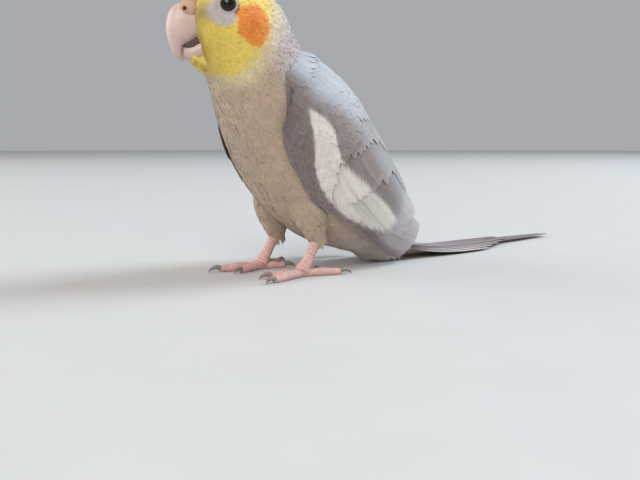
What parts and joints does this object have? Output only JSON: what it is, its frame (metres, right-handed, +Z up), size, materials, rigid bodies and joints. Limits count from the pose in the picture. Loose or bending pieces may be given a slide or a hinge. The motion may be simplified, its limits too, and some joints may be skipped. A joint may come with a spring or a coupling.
{
  "type": "cockatiel model",
  "caption": "Life-size still model of a standing crested parrot with folded clipped wings, its head turned aside and its long tail laid on the floor.",
  "frame": {"origin": "on the floor, under the middle of the bird's bounding box", "axes": "+Z is up, the bird faces -Y and its tail points to +Y, and its own left side is +X"},
  "size_m": [0.063, 0.2388, 0.1458],
  "materials": {
    "head_feathers": "matt yellow face feathers with a round orange cheek patch, paler on the crown",
    "body_feathers": "matt beige-grey body feathers",
    "wing_feathers": "matt cinnamon-grey feathers with a white wing bar",
    "tail_feathers": "matt grey feathers with paler outer edges",
    "bill": "pinkish horn, worn satin",
    "cere": "pale soft skin",
    "eye": "wet dark brown",
    "foot_skin": "pink scaled skin",
    "claw": "pale horn, satin"
  },
  "bodies": {
    "root": {"bill_lower": "bill", "bill_upper": "bill", "cere": "cere", "claw_inner_back_left": "claw", "claw_inner_back_right": "claw", "claw_inner_front_left": "claw", "claw_inner_front_right": "claw", "claw_outer_back_left": "claw", "claw_outer_back_right": "claw", "claw_outer_front_left": "claw", "claw_outer_front_right": "claw", "eye_left": "eye", "eye_right": "eye", "foot_left": "foot_skin", "foot_right": "foot_skin", "head": "head_feathers", "neck": "body_feathers", "tail": "tail_feathers", "thigh_left": "body_feathers", "thigh_right": "body_feathers", "torso": "body_feathers", "wing_left": "wing_feathers", "wing_right": "wing_feathers"}
  },
  "joints": []
}
